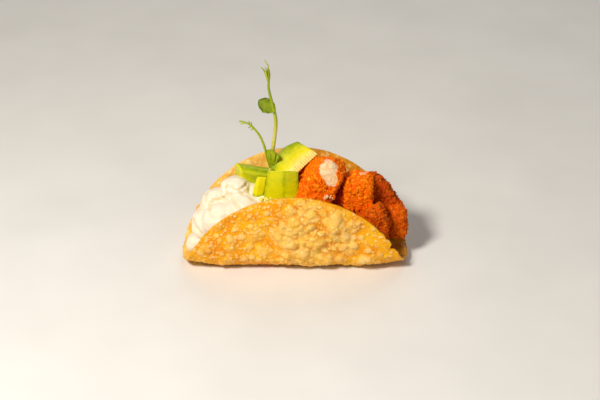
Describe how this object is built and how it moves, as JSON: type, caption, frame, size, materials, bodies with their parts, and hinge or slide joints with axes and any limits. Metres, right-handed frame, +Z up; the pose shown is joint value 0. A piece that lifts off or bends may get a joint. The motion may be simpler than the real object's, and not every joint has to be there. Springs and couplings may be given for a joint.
{
  "type": "taco",
  "caption": "Small crispy taco: a round blistered fried wrapper folded into a leaning trough, filled with white cream, cucumber batons, crumbed chicken and an upright pea shoot.",
  "frame": {"origin": "on the flat strip that the fold rests on, half way along the fold", "axes": "+X along the fold, towards the chicken; +Y from the low front wall to the tall back wall; +Z up"},
  "size_m": [0.0903, 0.0393, 0.0841],
  "materials": {
    "shell": "satin, oily fried dough",
    "cream": "satin",
    "cucumber": "satin, wet",
    "chicken": "matte, fried crumb",
    "pea_shoot": "satin"
  },
  "bodies": {
    "root": {"shell": "shell", "pea_shoot": "pea_shoot", "cucumber_block": "cucumber", "cucumber_wedge": "cucumber", "cucumber_nub": "cucumber", "cucumber_stick": "cucumber", "chicken_1": "chicken", "chicken_2": "chicken", "chicken_3": "chicken", "chicken_4": "chicken", "chicken_5": "chicken", "chicken_6": "chicken", "cream": "cream"}
  },
  "joints": []
}
